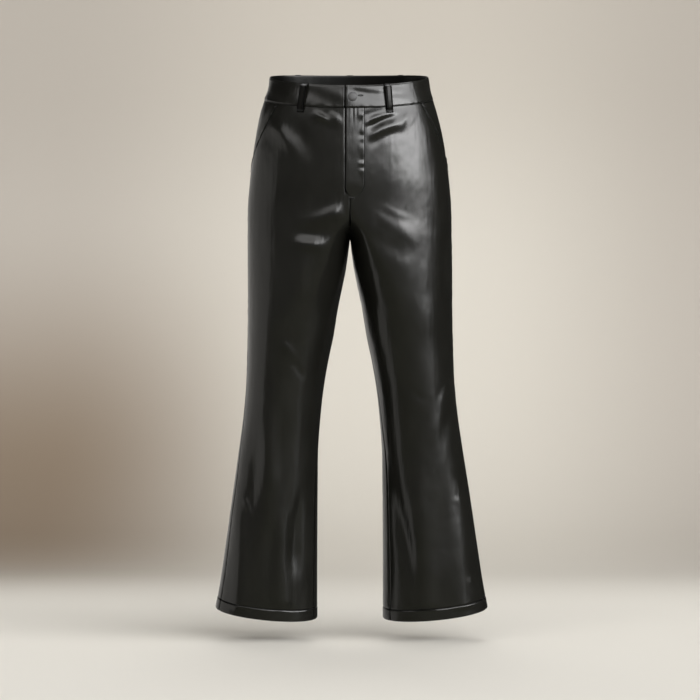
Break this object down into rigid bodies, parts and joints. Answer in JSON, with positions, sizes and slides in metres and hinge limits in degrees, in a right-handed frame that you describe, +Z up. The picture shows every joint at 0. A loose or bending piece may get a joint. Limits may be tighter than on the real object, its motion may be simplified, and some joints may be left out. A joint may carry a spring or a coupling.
{
  "type": "coated trousers",
  "caption": "High-waisted coated trousers, straight to the knee and flared to the hem, filled out as when worn, with a lapped fly, slant pockets and belt loops.",
  "frame": {"origin": "centre of the waistband ring at mid-height of the band, where the wearer's waist holds the trousers up", "axes": "+Z up along the legs towards the waist, the front faces -Y, +X to the wearer's left"},
  "size_m": [0.516, 0.2542, 1.0444],
  "materials": {
    "coated_cloth": "black polyurethane coating on cloth, satin, with a fine pebbled grain",
    "cloth_back": "dull black knitted backing on the inside of the coated cloth",
    "pocketing": "black plain-woven cotton",
    "thread": "black sewing thread",
    "button_metal": "dark grey lacquer, satin",
    "zip_cloth": "black woven zip tape with black coil teeth",
    "zip_metal": "dark grey lacquer, satin"
  },
  "bodies": {
    "root": {"front_right": "coated_cloth", "front_left": "coated_cloth", "back_right": "coated_cloth", "back_left": "coated_cloth", "waistband_right": "coated_cloth", "waistband_left": "coated_cloth", "pocket_facing_right": "coated_cloth", "pocket_facing_left": "coated_cloth", "pocket_bag_right": "pocketing", "pocket_bag_left": "pocketing", "fly_flap": "coated_cloth", "belt_loop_front_right": "coated_cloth", "belt_loop_front_left": "coated_cloth", "belt_loop_back_right": "coated_cloth", "belt_loop_back_left": "coated_cloth", "belt_loop_back_middle": "coated_cloth", "zip_tape": "zip_cloth", "zip_slider": "zip_metal", "zip_pull_tab": "zip_metal", "button": "button_metal"}
  },
  "joints": []
}
